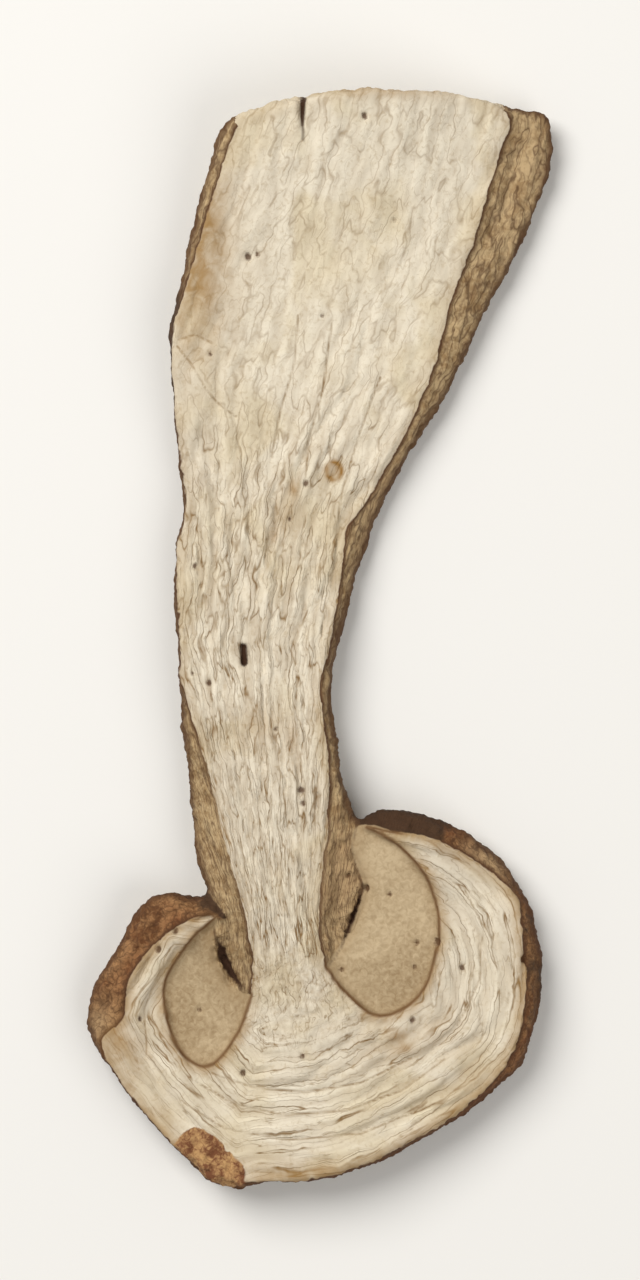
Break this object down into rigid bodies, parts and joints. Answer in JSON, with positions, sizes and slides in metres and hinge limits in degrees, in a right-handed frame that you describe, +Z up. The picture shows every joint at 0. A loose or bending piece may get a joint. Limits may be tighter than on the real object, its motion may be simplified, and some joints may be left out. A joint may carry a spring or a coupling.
{
  "type": "dried porcini slice",
  "caption": "Dried lengthwise slice of a porcini mushroom: flared stem, hooked cap and sunken tube layers, curled in drying and lying on its cut face.",
  "frame": {"origin": "The middle of the bounding box, on the surface that the slice lies on.", "axes": "+Y runs from the cap to the base of the stem, along the slice. +Z is up, out of the cut face that looks at the camera. +X is to the right of the stem, towards the cap's larger hook."},
  "size_m": [0.0344, 0.0812, 0.0065],
  "materials": {
    "dried_mushroom": "matte"
  },
  "bodies": {
    "root": {"porcini_slice": "dried_mushroom"}
  },
  "joints": []
}
